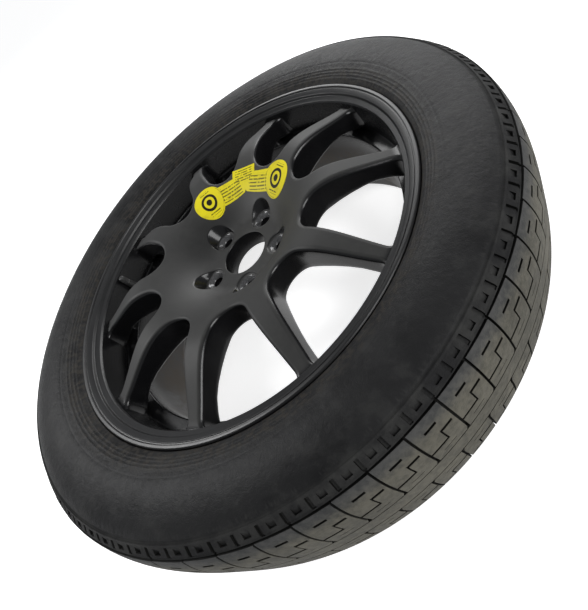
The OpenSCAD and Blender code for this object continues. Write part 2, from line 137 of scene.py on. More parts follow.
# Meshes
def inside(p, shape):
    """Whether a point lies within a closed outline."""
    x, y, odd = p.x, p.y, False
    a = shape[-1]
    for b in shape:
        if (b.y > y) != (a.y > y) and x < (a.x - b.x) * (y - b.y) / (a.y - b.y) + b.x:
            odd = not odd
        a = b
    return odd


class Sheet:
    """Faces gathered by hand: points are shared by the strips that name them."""

    def __init__(self):
        self.points, self.faces, self.finish = [], [], []

    def point(self, x, y, mid_height):
        self.points.append(in_metres(x, y, mid_height))
        return len(self.points) - 1

    def face(self, corners, finish=0):
        """Corners that fall together are dropped, and so is a face with fewer than three left."""
        kept = list(dict.fromkeys(corners))
        if len(kept) > 2:
            self.faces.append(kept)
            self.finish.append(finish)

    def ring(self, r, z, angles):
        return [self.point(r * math.cos(a), r * math.sin(a), z) for a in angles]

    def band(self, near, far, finish=0):
        """Quads between two closed rows with as many points; counter-clockwise, near outside or above."""
        n = len(near)
        for i in range(n):
            j = (i + 1) % n
            self.face([near[i], near[j], far[j], far[i]], finish)

    def walk(self, rings, finish=0):
        """A band between each ring and the next, with the next one as its near row."""
        for near, far in zip(rings, rings[1:]):
            self.band(far, near, finish)

    def closed(self, rings):
        """A ring-shaped solid's whole skin: bands from each ring to the next and back to the first."""
        for k, ring in enumerate(rings):
            self.band(rings[(k + 1) % len(rings)], ring)

    def fan(self, ring, centre, up=True):
        """Triangles from a closed row to one point in its middle."""
        for near, far in zip(ring, ring[1:] + ring[:1]):
            self.face([near, far, centre] if up else [far, near, centre])

    def stitch(self, near, near_angles, far, far_angles):
        """Triangles between two closed rings whose points stand at different angles."""
        i = j = 0
        a, b = len(near), len(far)
        while i < a or j < b:
            next_near = near_angles[(i + 1) % a] + (TAU if i + 1 >= a else 0)
            next_far = far_angles[(j + 1) % b] + (TAU if j + 1 >= b else 0)
            if j >= b or (i < a and next_near <= next_far):
                self.face([near[i % a], near[(i + 1) % a], far[j % b]])
                i += 1
            else:
                self.face([near[i % a], far[(j + 1) % b], far[j % b]])
                j += 1

    def flat(self, number):
        x, y, _ = self.points[number]
        return Vector((x / MM, y / MM))

    def filled(self, loops, extra, height, up=True):
        """A region between closed loops of point numbers, with extra spots, raised by height(x, y)."""
        flat, edges, owner = [], [], []
        for loop in loops:
            first = len(flat)
            flat += [self.flat(number) for number in loop]
            owner += loop
            edges += [(first + k, first + (k + 1) % len(loop)) for k in range(len(loop))]
        flat += [Vector(p) for p in extra]
        verts, _, tris, source, _, _ = delaunay_2d_cdt(flat, edges, [], 0, 1e-4)
        numbers = []
        for v, from_points in zip(verts, source):
            known = [owner[s] for s in from_points if s < len(owner)]
            numbers.append(known[0] if known else self.point(v.x, v.y, height(v.x, v.y)))
        shapes = [[self.flat(number) for number in loop] for loop in loops]
        for tri in tris:
            middle = sum((verts[t] for t in tri), Vector((0, 0))) / 3
            if sum(inside(middle, shape) for shape in shapes) % 2:
                corners = [numbers[t] for t in tri]
                self.face(corners if up else corners[::-1])

    def made(self, name, sharp_degrees):
        """The piece, shaded smooth except over edges sharper than an angle."""
        mesh = bpy.data.meshes.new(name)
        mesh.from_pydata(self.points, [], self.faces)
        mesh.polygons.foreach_set("material_index", self.finish)
        mesh.validate()
        piece = bpy.data.objects.new(name, mesh)
        bpy.context.collection.objects.link(piece)
        bpy.ops.object.select_all(action="DESELECT")
        piece.select_set(True)
        bpy.context.view_layer.objects.active = piece
        bpy.ops.object.shade_smooth_by_angle(angle=math.radians(sharp_degrees))
        return piece


def rounded(corners, steps=4):
    """A closed profile of (r, z, radius) corners with each corner turned by an arc."""
    out = []
    for i, (r, z, radius) in enumerate(corners):
        here = Vector((r, z))
        u = Vector(corners[i - 1][:2]) - here
        v = Vector(corners[(i + 1) % len(corners)][:2]) - here
        half = u.angle(v) / 2
        if radius <= 0 or half > math.radians(88):
            out.append(tuple(here))
            continue
        reach = min(radius / math.tan(half), 0.45 * u.length, 0.45 * v.length)
        u.normalize()
        v.normalize()
        centre = here + (u + v).normalized() * (reach * math.tan(half) / math.sin(half))
        start, end = here + u * reach - centre, here + v * reach - centre
        turn = start.angle_signed(end)
        for k in range(steps + 1):
            out.append(tuple(centre + Matrix.Rotation(-turn * k / steps, 2) @ start))
    return out


# The tyre
def crown(z):
    return TREAD_R - CROWN_DROP * (abs(z) / SHOULDER_Z) ** CROWN_POWER


def into_crown(z):
    """The direction straight into the tread at a height."""
    slope = CROWN_DROP * CROWN_POWER / SHOULDER_Z * (z / SHOULDER_Z) ** (CROWN_POWER - 1)
    return Vector((-1, -slope)).normalized()


def tread_rows():
    """Rows across one half of the tread, from the centre rib out to the ridge: (r, z, down r, down z)."""
    rows = [(crown(z), z, *into_crown(z)) for z in ROW_HEIGHTS]
    band = (Vector(RIDGE) - Vector(CORNER)).normalized()
    inward = Vector((-band.y, band.x))
    for distance, by_wall, rise in BAND_ROWS:
        down = (Vector(GROOVE_WALL) * by_wall + inward * (1 - by_wall)).normalized()
        place = Vector(CORNER) + band * distance - down * rise
        rows.append((*place, *down))
    return rows


ROWS = tread_rows()
CELLS = range(len(ROWS) - 1)


def tread_cuts():
    """Places along the tread, in pitches over two blocks, where a cut starts or ends."""
    marks = [(block + at) % 2 for block in (0, 1)
             for at in (-CROSS_HALF, CROSS_HALF, *FINE_LINE, *DASH, *JOG, STEP_END)]
    marks += [(slot * 2 / 3 + at) % 2 for slot in range(3) for at in (-SLOT_HALF, SLOT_HALF, *RAMP)]
    kept = []
    for mark in sorted(marks):
        if not kept or mark - kept[-1] > 0.004:
            kept.append(mark)
    return kept


def block_depth(block, row):
    """Depth of a cell on a tread block; block in pitches from the block's cross groove."""
    near, far = STEP_ROWS
    if min(block, 1 - block) < CROSS_HALF:
        return GROOVE_DEPTH
    in_jog = JOG[0] < block < JOG[1]
    in_near, in_far = row == near and block < JOG[1], row == far and JOG[0] < block < STEP_END
    if in_near or in_far or (near <= row <= far and in_jog):
        return CUT_DEPTH
    if row == DASH_ROW and DASH[0] < block < DASH[1]:
        return CUT_DEPTH
    if row == FINE_LINE_ROW and FINE_LINE[0] < block < FINE_LINE[1]:
        return LINE_DEPTH
    return 0.0


def cut_depth(turn, row):
    """Depth at a cell's inner and outer side: turn in pitches over two blocks, row between two ROWS."""
    block = turn % 1
    if row == 0:
        return GROOVE_DEPTH, GROOVE_DEPTH
    if row == RIM_ROW:
        return SHOULDER_DEPTH, SHOULDER_DEPTH
    if row < RIM_ROW:
        return (block_depth(block, row),) * 2
    at = (turn * 1.5) % 1 / 1.5
    in_slot = min(at, 2 / 3 - at) < SLOT_HALF
    in_cross = min(block, 1 - block) < CROSS_HALF and (turn < 0.5 or turn > 1.5)
    on_band = row - RIM_ROW
    if on_band in (1, 2):
        return ((SLOT_DEPTH if (in_cross if on_band == 1 else in_slot) else LEDGE_DEPTH),) * 2
    if in_slot and on_band < 8:
        return SLOT_DEPTH, SLOT_DEPTH
    if RAMP[0] < at < RAMP[1] and 4 <= on_band <= 6:
        return RAMP_DEPTHS[on_band - 4], RAMP_DEPTHS[on_band - 3]
    return 0.0, 0.0


def half_tread(sheet, side, start):
    """One half of the tread: side is 1 outboard and -1 inboard, start its first cross groove's angle."""
    turns = tread_cuts()
    n = len(turns)
    marks = [(pair, t) for pair in range(BLOCK_PAIRS) for t in turns]
    columns = len(marks)
    depth = []
    for k in range(n):
        after = turns[(k + 1) % n] + (2 if k + 1 == n else 0)
        depth.append([cut_depth((turns[k] + after) / 2 % 2, row) for row in CELLS])
    made = {}

    def corner(column, row, d):
        column %= columns
        key = (column, row, round(d, 2))
        if key not in made:
            pair, t = marks[column]
            r, z, dr, dz = ROWS[row]
            block = t % 1
            # The block's outer edge leans a little along the tread
            if row in (RIM_ROW, RIM_ROW - 1):
                z += (0.9 if row == RIM_ROW else 0.5) * (0.5 - block)
                r = crown(z)
            # The cross groove bends where it meets the rib
            if row in (0, 1) and block > STEP_END + 0.005:
                t -= 0.075 if row == 0 else 0.05
            angle = start + side * (pair * 2 + t) * PITCH
            made[key] = sheet.point((r + dr * d) * math.cos(angle), (r + dr * d) * math.sin(angle),
                                    side * (z + dz * d))
        return made[key]

    for c in range(columns):
        here, beside = depth[c % n], depth[(c + 1) % n]
        for row in CELLS:
            (d0, d1), (e0, e1) = here[row], beside[row]
            sheet.face([corner(c, row, d0), corner(c + 1, row, d0),
                        corner(c + 1, row + 1, d1), corner(c, row + 1, d1)])
            if (d0, d1) != (e0, e1):
                sheet.face([corner(c + 1, row + 1, d1), corner(c + 1, row, d0),
                            corner(c + 1, row, e0), corner(c + 1, row + 1, e1)])
            if row + 1 in CELLS and here[row + 1][0] != d1:
                e = here[row + 1][0]
                sheet.face([corner(c, row + 1, d1), corner(c + 1, row + 1, d1),
                            corner(c + 1, row + 1, e), corner(c, row + 1, e)])
    angles = [start + side * (pair * 2 + t) * PITCH for pair, t in marks]
    inner = [corner(c, 0, depth[c % n][0][0]) for c in range(columns)]
    outer = [corner(c, len(ROWS) - 1, depth[c % n][-1][1]) for c in range(columns)]
    return in_order(inner, angles), in_order(outer, angles)


def in_order(ring, angles):
    """A ring's points and their angles, from angle 0 round."""
    pairs = sorted((a % TAU, p) for a, p in zip(angles, ring))
    return [p for _, p in pairs], [a for a, _ in pairs]


def sidewall():
    """Profile from the ridge down to the rim's flange, round the bead and back inside: (r, z) outboard."""
    radii = [at + width * part for at, width, _ in SIDEWALL_LINES for part in (1.3, 0.5, -0.5, -1.3)]
    first, step, count, sunk = 356.5, 3.4, 25, 0.5
    plain = [first - i * step for i in range(count)]
    radii += [r for r in plain if min(abs(r - at) for at, _, _ in SIDEWALL_LINES) > 2.0]
    out = []
    for r in sorted(radii, reverse=True):
        z = math.sqrt(CASING_R ** 2 - (r - CASING_AT) ** 2)
        rises = [height * clamp(1.4 - abs(r - at) / width * 1.4) for at, width, height in SIDEWALL_LINES]
        rise = sum(rises) - sunk
        n = Vector((r - CASING_AT, z)).normalized()
        out.append((r + n.x * rise, z + n.y * rise))
    bead = [(273.0, 87.4), (272.1, 86.3), (271.75, 84.4), (271.4, 82.0), (270.6, 80.2), (268.0, 77.6),
            (262.2, 76.6), (256.8, 76.4), (254.6, 74.0), (254.6, 54.4)]
    inner_face = [(262.6, 54.0), (274.4, 62.0), (283.6, 74.0), (290.0, 79.0), (305.0, 86.6), (325.0, 87.8),
                  (345.0, 83.6), (362.0, 74.8), (372.0, 66.0), (375.3, 58.0)]
    return out + bead + inner_face


def tyre():
    sheet = Sheet()
    halves = {1: half_tread(sheet, 1, OUTBOARD_START), -1: half_tread(sheet, -1, INBOARD_START)}
    rib_angles, round_angles = even_angles(336), even_angles(200)
    rib = {}
    for side in (1, -1):
        foot, foot_angles = halves[side][0]
        rib[side] = sheet.ring(crown(RIB_HALF), side * RIB_HALF, rib_angles)
        if side == 1:
            sheet.stitch(foot, foot_angles, rib[side], rib_angles)
        else:
            sheet.stitch(rib[side], rib_angles, foot, foot_angles)
    rows = [rib[1]] + [sheet.ring(crown(z), z, rib_angles) for z in (5.5, 0, -5.5)] + [rib[-1]]
    for near, far in zip(rows, rows[1:]):
        sheet.band(near, far)
    last = {}
    for side in (1, -1):
        rings = [sheet.ring(r, side * z, round_angles) for r, z in sidewall()]
        edge, edge_angles = halves[side][1]
        if side == 1:
            sheet.stitch(rings[0], round_angles, edge, edge_angles)
            sheet.walk(rings)
        else:
            sheet.stitch(edge, edge_angles, rings[0], round_angles)
            sheet.walk(rings[::-1])
        last[side] = rings[-1]
    sheet.band(last[-1], last[1])
    return sheet.made("tyre_rubber", 38)


# The cast wheel
def bezier(p, t):
    """A point on the curve with two ends and two handles."""
    s = 1 - t
    return tuple(s ** 3 * a + 3 * s * s * t * b + 3 * s * t * t * c + t ** 3 * d for a, b, c, d in zip(*p))


def along(points):
    """A height read off a line of (r, z) points."""
    def height(r):
        if r <= points[0][0]:
            return points[0][1]
        for (a, za), (b, zb) in zip(points, points[1:]):
            if r <= b:
                return za + (zb - za) * (r - a) / (b - a)
        return points[-1][1]
    return height


# The disc's face and back: distance from the axle, and height
DISH = [(50.0, 63.0), (72.0, 62.0), (86.0, 98.0), (148.0, 100.0)]
FALL = [(148.0, 100.0), (178.0, 100.0), (205.0, 84.0), (250.65, 72.0)]
face_height = along([bezier(DISH, t / 40) for t in range(41)] + [bezier(FALL, t / 40) for t in range(1, 41)]
                    + [(256.0, 70.6)])
back_height = along([(33.0, 39.0), (78.0, 39.0), (84.5, 45.0), (92, 52), (102.0, 58.5), (116, 63.2),
                     (133.0, 65.2), (155, 66.8), (173.0, 66.6), (192, 65), (208.0, 61.6), (224, 54.5),
                     (238.0, 46.0), (256.0, 38.8)])


def arc(centre, radius, start, end, spacing):
    """Points along an arc with their outward directions."""
    n = max(3, round(abs(end - start) * radius / spacing))
    turns = [start + (end - start) * k / n for k in range(n + 1)]
    ways = [Vector((math.cos(a), math.sin(a))) for a in turns]
    return [(centre + way * radius, way) for way in ways]


def window_outline(spacing=3.2):
    """The window about +X, from the middle of its outer end round: points with their outward directions."""
    half, corner_r, inner_end = math.pi / WINDOWS, 12.0, 119.0
    spoke_in, spoke_out = (146, -16.5), (BARREL_IN, -10.0)    # along a spoke, and half its width there
    a, b = turned_by(Vector(spoke_in), half), turned_by(Vector(spoke_out), half)
    side = (b - a).normalized()
    out = Vector((-side.y, side.x))
    dist = out.dot(a)
    centre = Vector(((inner_end + dist) / (1 + out.x), 0))
    end_r = centre.x - inner_end
    corner = out * (dist - corner_r) + side * math.sqrt((DISC_END - corner_r) ** 2 - (dist - corner_r) ** 2)
    out_angle, corner_angle = math.atan2(out.y, out.x), math.atan2(corner.y, corner.x)
    upper = arc(Vector((0, 0)), DISC_END, 0, corner_angle, spacing)[:-1]
    upper += arc(corner, corner_r, corner_angle, out_angle, spacing)
    p, q = corner + out * corner_r, centre + out * end_r
    n = round((q - p).length / spacing)
    upper += [(p + (q - p) * k / n, out) for k in range(1, n)]
    upper += arc(centre, end_r, out_angle, math.pi, spacing)
    lower = [(Vector((p.x, -p.y)), Vector((n.x, -n.y))) for p, n in upper[1:-1]]
    return upper + lower[::-1]


def window_rows():
    """Rows down a window's wall: how far outward, what the height is measured from, and how deep."""
    rows = []
    for step in range(7):
        turn = math.pi / 2 * step / 6
        rows.append((FRONT_ROLL * (1 - math.sin(turn)), "front", FRONT_ROLL * (1 - math.cos(turn))))
    rows += [(-DRAFT * share, "between", share) for share in (0.2, 0.4, 0.6, 0.8)]
    for step in range(5):
        turn = math.pi / 2 * step / 4
        rows.append((-DRAFT + BACK_ROLL * (1 - math.cos(turn)), "back", BACK_ROLL * (1 - math.sin(turn))))
    return rows


def wall_height(measured_from, depth, edge_r, r):
    """A row's height at r from the axle, on the wall below the outline's point at edge_r."""
    if measured_from == "front":
        return face_height(r) - depth
    if measured_from == "back":
        return back_height(r) + depth
    top, low = face_height(edge_r) - FRONT_ROLL, back_height(edge_r) + BACK_ROLL
    return top + (low - top) * depth


def window_wall(sheet, outline, angle):
    """A window's wall; gives back its first ring on the face and its last on the back."""
    spots = [(turned_by(p, angle), turned_by(n, angle)) for p, n in outline]
    rings = []
    for outward, measured_from, depth in window_rows():
        ring = []
        for p, n in spots:
            q = p + n * outward
            ring.append(sheet.point(q.x, q.y, wall_height(measured_from, depth, p.length, q.length)))
        rings.append(ring)
    sheet.walk(rings)
    return rings[0], rings[-1]


def bolt_hole(sheet, x, y):
    """A pocket in the dish, its machined seat and the hole; gives back its first and last ring."""
    angles = even_angles(40)

    def hole(radius, z):
        return [sheet.point(x + radius * math.cos(a), y + radius * math.sin(a), z) for a in angles]

    def mouth(grow, drop):
        """The pocket's mouth, wider where the dish stands higher above its floor."""
        ring = []
        for a in angles:
            radius = POCKET_R
            for _ in range(12):
                px, py = x + radius * math.cos(a), y + radius * math.sin(a)
                above_floor = face_height(math.hypot(px, py)) - POCKET_FLOOR
                radius = 0.5 * (radius + POCKET_R + POCKET_FLARE * above_floor)
            radius += grow
            px, py = x + radius * math.cos(a), y + radius * math.sin(a)
            ring.append(sheet.point(px, py, face_height(math.hypot(px, py)) - drop))
        return ring

    pocket = [mouth(1.8, 0), mouth(1.1, 0.1), mouth(0.45, 0.45), mouth(0.0, 1.1),
              hole(POCKET_R + 0.2, POCKET_FLOOR + 0.5), hole(POCKET_R - 0.5, POCKET_FLOOR + 0.1),
              hole(SEAT_R + 0.4, POCKET_FLOOR)]
    seat = [pocket[-1], hole(SEAT_R, SEAT_TOP), hole(BOLT_HOLE_R + 0.3, SEAT_FOOT + 0.6),
            hole(BOLT_HOLE_R, SEAT_FOOT)]
    bottom = [seat[-1], hole(BOLT_HOLE_R, HUB_FACE + 1), hole(BOLT_HOLE_R + 0.6, HUB_FACE)]
    sheet.walk(pocket)
    sheet.walk(seat, finish=1)
    sheet.walk(bottom)
    return pocket[0], bottom[-1]


def spread(bolts, openings, bolt_clear):
    """Spots over the disc, clear of the bolts and windows, that carry its curve."""
    first_r, last_r, row_step, spacing, windows_from = 38.5, 251, 5.4, 6.0, 108
    spots, r, ring = [], first_r, 0
    while r < last_r:
        n = max(30, round(r * TAU / spacing / 30) * 30)
        for i in range(n):
            p = Vector(polar(r, (i + 0.5 * (ring % 2)) * 360 / n))
            in_window = r > windows_from and any(inside(p, shape) for shape in openings)
            if all((p - c).length > bolt_clear for c in bolts) and not in_window:
                spots.append(p)
        r += row_step
        ring += 1
    return spots


def cast_disc(sheet):
    """The spoked disc: its face, its back and the rolled walls of windows, pockets and bolt holes."""
    outline = window_outline()
    turns = even_angles(WINDOWS)
    pockets = [Vector(polar(BOLT_CIRCLE_R, 360 / BOLTS * k)) for k in range(BOLTS)]
    ends = [window_wall(sheet, outline, a) for a in turns] + [bolt_hole(sheet, *p) for p in pockets]
    bore = [sheet.ring(r, z, even_angles(120)) for r, z in (
        (BORE_R + 4.1, HUB_TOP), (BORE_R + 1.7, HUB_TOP), (BORE_R + 0.9, HUB_TOP - 0.1),
        (BORE_R + 0.3, HUB_TOP - 0.5), (BORE_R, HUB_TOP - 1.2), (BORE_R, HUB_FACE + 1),
        (BORE_R + 1, HUB_FACE))]
    sheet.walk(bore)
    edge = [sheet.ring(DISC_EDGE, height(DISC_EDGE), even_angles(240))
            for height in (face_height, back_height)]
    sheet.band(*edge)
    window_clear, pocket_clear, bolt_clear = 7.5, 27.0, 11.0
    openings = [[turned_by(p + n * window_clear, a) for p, n in outline] for a in turns]
    # The raised hub face ends between these two radii
    foot = [Vector(polar(r, i * 3)) for r in (78.0, 84.5) for i in range(120)]
    sheet.filled([edge[0], bore[0]] + [front for front, _ in ends],
                 spread(pockets, openings, pocket_clear),
                 lambda x, y: face_height(math.hypot(x, y)))
    sheet.filled([edge[1], bore[-1]] + [back for _, back in ends],
                 spread(pockets, openings, bolt_clear) + foot,
                 lambda x, y: back_height(math.hypot(x, y)), up=False)


def barrel_profile():
    """The barrel's section all round, from the ledge on its inner side: corners as (r, z, radius)."""
    outboard_lip = [
        (BARREL_IN, LEDGE, 2.5), (BARREL_IN, 77.5, 1.5), (248.9, 80.3, 1.0), (255.6, 82.2, 1.2),
        (256.8, 85.2, 1.2), (263.4, 87.8, 0.6), (264.0, 86.9, 0.3), (265.3, 86.9, 0.3),
        (265.9, 88.8, 0.7), (269.8, 88.8, 1.6), (271.2, 86.8, 1.2), (270.9, 84.2, 0.3),
        (269.9, 80.6, 0.3), (267.2, 77.8, 0.3), (262.0, 76.2, 1.5), (256, 76.2, 1.5),
        (254, 74.2, 1.0), (254, 45, 1.0), (252.6, 41, 0.5), (252.6, 36.5, 1.5)]
    well = [(232.5, 36.5, 3.0), (232.5, -36.5, 3.0)]
    inboard_lip = [
        (254, -45, 2.0), (254, -74.2, 1), (256, -76.2, 1.5), (262, -76.2, 1.5), (267.2, -77.8, 0.3),
        (269.9, -80.6, 0.3), (270.9, -84.2, 0.3), (271.2, -86.8, 1.2), (269.6, -88.8, 1.2),
        (262.5, -88.8, 2.0), (249.3, -85.9, 2.0), (BARREL_IN, -79.9, 2.0), (BARREL_IN, -46.0, 4.0)]
    under_well = [(228.1, -LEDGE, 6.0), (228.1, LEDGE, 2.0)]
    return outboard_lip + well + inboard_lip + under_well


def wheel():
    sheet = Sheet()
    cast_disc(sheet)
    sheet.closed([sheet.ring(r, z, even_angles(288)) for r, z in rounded(barrel_profile())[::-1]])
    return sheet.made("wheel_casting", 34)


# The sticker
def meets_disc(start, slope):
    """Where a line falling to the right first meets the right disc, as an angle on the disc."""
    x, y = start
    while math.hypot(x - DISC_X, y - DISC_Y) > DISC_R:
        x, y = x + 0.02, y - 0.02 * slope
    return math.atan2(y - DISC_Y, x - DISC_X)


def sticker_outline(disc_steps=72, spacing=2.0):
    """The film's outline, two discs with a bent band and a tab between them, counter-clockwise."""
    low, high = meets_disc(NOTCH, LOWER_SLOPE), meets_disc(TAB_FOOT, UPPER_SLOPE)
    turn = (high - low) % TAU
    ways = [low + turn * k / disc_steps for k in range(disc_steps + 1)]
    right = [NOTCH] + [(DISC_X + DISC_R * math.cos(a), DISC_Y + DISC_R * math.sin(a)) for a in ways]
    right += [TAB_FOOT, TAB_TOP]
    line = [NOTCH_TOP] + right + [(-x, y) for x, y in right[::-1]]
    out = []
    for a, b in zip(line, line[1:] + line[:1]):
        parts = max(1, round(math.dist(a, b) / spacing))
        out += [(a[0] + (b[0] - a[0]) * k / parts, a[1] + (b[1] - a[1]) * k / parts) for k in range(parts)]
    return out


def sticker():
    """A film laid on the dish, closed below."""
    sheet = Sheet()
    outline = sticker_outline()
    shape = [Vector(p) for p in outline]
    lifted, edge_lift, sunk = 0.42, 0.36, -0.1
    middle, inset = Vector((0, 92)), 0.002
    spacing, clear = 1.7, 0.9

    def over(lift):
        return lambda x, y: face_height(math.hypot(x, y)) + lift

    spots = [Vector((i * spacing, j * spacing)) for i in range(-52, 53) for j in range(34, 76)]
    spots = [p for p in spots if inside(p, shape) and min((p - q).length for q in shape) > clear]
    edge, foot = ([sheet.point(x, y, over(lift)(x, y)) for x, y in outline] for lift in (edge_lift, sunk))
    rim = [sheet.point(x + (middle.x - x) * inset, y + (middle.y - y) * inset, over(lifted)(x, y))
           for x, y in outline]
    sheet.band(rim, edge)
    sheet.band(edge, foot)
    sheet.filled([rim], spots, over(lifted))
    sheet.filled([foot], spots, over(sunk), up=False)
    return sheet.made("face_sticker", 40)


# The valve
def valve_ring(sheet, radius, height, n, rib=0.0):
    """Points round the valve's own axis, above the ledge; rib is how far the cap's ribs stand out."""
    cx, cy = polar(*VALVE_AT)
    ring = []
    for a in even_angles(n):
        r = radius + rib * clamp(1.6 * math.cos(CAP_RIBS * a), -0.2, 1.0)
        ring.append(sheet.point(cx + r * math.cos(a), cy + r * math.sin(a), LEDGE + height))
    return ring


def valve_rubber():
    bulb = [(3.2, 24.0, 0), (3.2, -12.0, 0), (5.6, -13.2, 0.5), (6.9, -13.2, 1.0), (7.8, -11.7, 1.0),
            (6.4, -4.6, 0.5), (5.6, -4.5, 0.2), (5.6, 0.1, 0.2)]
    skirt = [(6.2, 0.1, 0.3), (6.2, 1.8, 0.4), (5.8, 2.4, 0.4), (5.7, 10.0, 0), (5.9, 10.5, 0.2),
             (5.9, 11.6, 0.2), (5.6, 12.1, 0), (5.4, 20.4, 0.5), (5.1, 24.0, 0.6)]
    sheet = Sheet()
    sheet.closed([valve_ring(sheet, r, h, 48) for r, h in rounded(bulb + skirt)])
    return sheet.made("valve_rubber", 35)


def cap():
    """The screwed cap, closed above and hollow below."""
    # Radius, height above the ledge, and share of the ribs' rise
    rows = [(CAP_INSIDE_R, 24.6, 0), (4.75, 24.5, 0), (4.95, 24.8, 0), (4.95, 26.1, 0), (4.6, 26.5, 0),
            (4.45, 27.0, 1), (4.45, 28.5, 1), (4.4, 34.4, 1), (4.35, 35.4, 0.4), (4.1, 36.2, 0),
            (3.6, 36.8, 0), (2.9, CAP_TOP, 0)]
    n = 144
    cx, cy = polar(*VALVE_AT)
    sheet = Sheet()
    rings = [valve_ring(sheet, r, h, n, RIB_RISE * ribbed) for r, h, ribbed in rows]
    for near, far in zip(rings, rings[1:]):
        sheet.band(near, far)
    sheet.fan(rings[-1], sheet.point(cx, cy, LEDGE + CAP_TOP))
    ceiling = valve_ring(sheet, CAP_INSIDE_R, CAP_INSIDE_TOP, n)
    sheet.band(ceiling, rings[0])
    sheet.fan(ceiling, sheet.point(cx, cy, LEDGE + CAP_INSIDE_TOP), up=False)
    return sheet.made("valve_cap_shell", 40)


# Materials
class Value:
    """A number, colour or vector inside a material; arithmetic on it adds the nodes."""

    def __init__(self, finish, socket):
        self.finish, self.socket = finish, socket

    def _math(self, operation, *values):
        return self.finish.node("ShaderNodeMath", {"operation": operation}, dict(enumerate(values)))

    def __add__(self, other):
        return self._math("ADD", self, other)

    def __sub__(self, other):
        return self._math("SUBTRACT", self, other)

    def __rsub__(self, other):
        return self._math("SUBTRACT", other, self)

    def __mul__(self, other):
        return self._math("MULTIPLY", self, other)

    def __truediv__(self, other):
        return self._math("DIVIDE", self, other)

    def __pow__(self, other):
        return self._math("POWER", self, other)

    __radd__, __rmul__ = __add__, __mul__

    def abs(self):
        return self._math("ABSOLUTE", self)

    def root(self):
        return self._math("SQRT", self)

    def high(self, other):
        """The higher of two values."""
        return self._math("MAXIMUM", self, other)

    def part(self):
        """What is left over whole numbers."""
        return self._math("FRACT", self)

    def angle_to(self, other):
        return self._math("ARCTAN2", self, other)

    def between(self, start, end):
        """0 at start rising smoothly to 1 at end."""
        return self.finish.node("ShaderNodeMapRange", {"interpolation_type": "SMOOTHSTEP", "clamp": True},
                                {"Value": self, "From Min": start, "From Max": end})

    def within(self, low, high, soft=0.25):
        """1 from low to high, and 0 outside them."""
        return self.between(low - soft, low + soft) * (1 - self.between(high - soft, high + soft))


class Finish:
    """A material in the making."""

    def __init__(self, name):
        self.material = bpy.data.materials.new(name)
        self.material.use_nodes = True
        self.tree = self.material.node_tree
        self.shader = next(n for n in self.tree.nodes if n.type == "BSDF_PRINCIPLED")

    def node(self, kind, settings=None, inputs=None, output=0):
        made = self.tree.nodes.new(kind)
        for key, value in (settings or {}).items():
            setattr(made, key, value)
        self.fill(made, inputs or {})
        return Value(self, made.outputs[output])

    def fill(self, made, inputs):
        for key, value in inputs.items():
            if isinstance(value, Value):
                self.tree.links.new(value.socket, made.inputs[key])
            else:
                made.inputs[key].default_value = value

    def parts(self, vector):
        """A vector's three parts."""
        made = self.tree.nodes.new("ShaderNodeSeparateXYZ")
        self.tree.links.new(vector.socket, made.inputs[0])
        return [Value(self, socket) for socket in made.outputs]

    def place(self):
        """Object coordinates, whole and as x, y and z."""
        at = self.node("ShaderNodeTexCoord", output=3)
        return at, *self.parts(at)

    def facing(self):
        """The parts of the surface's normal."""
        return self.parts(self.node("ShaderNodeNewGeometry", output=1))

    def noise(self, at, scale, detail=3.0, roughness=0.55):
        return self.node("ShaderNodeTexNoise", {},
                         {"Vector": at, "Scale": scale, "Detail": detail, "Roughness": roughness})

    def blend(self, amount, a, b):
        """From colour a to colour b; a colour is a tuple or a Value."""
        first, second = ((*c, 1) if isinstance(c, tuple) else c for c in (a, b))
        return self.node("ShaderNodeMix", {"data_type": "RGBA"}, {0: amount, 6: first, 7: second}, output=2)

    def bump(self, height, distance, strength):
        return self.node("ShaderNodeBump", {},
                         {"Height": height, "Distance": distance, "Strength": strength})

    def done(self, **sockets):
        self.fill(self.shader, {key.replace("_", " "): value for key, value in sockets.items()})
        return self.material


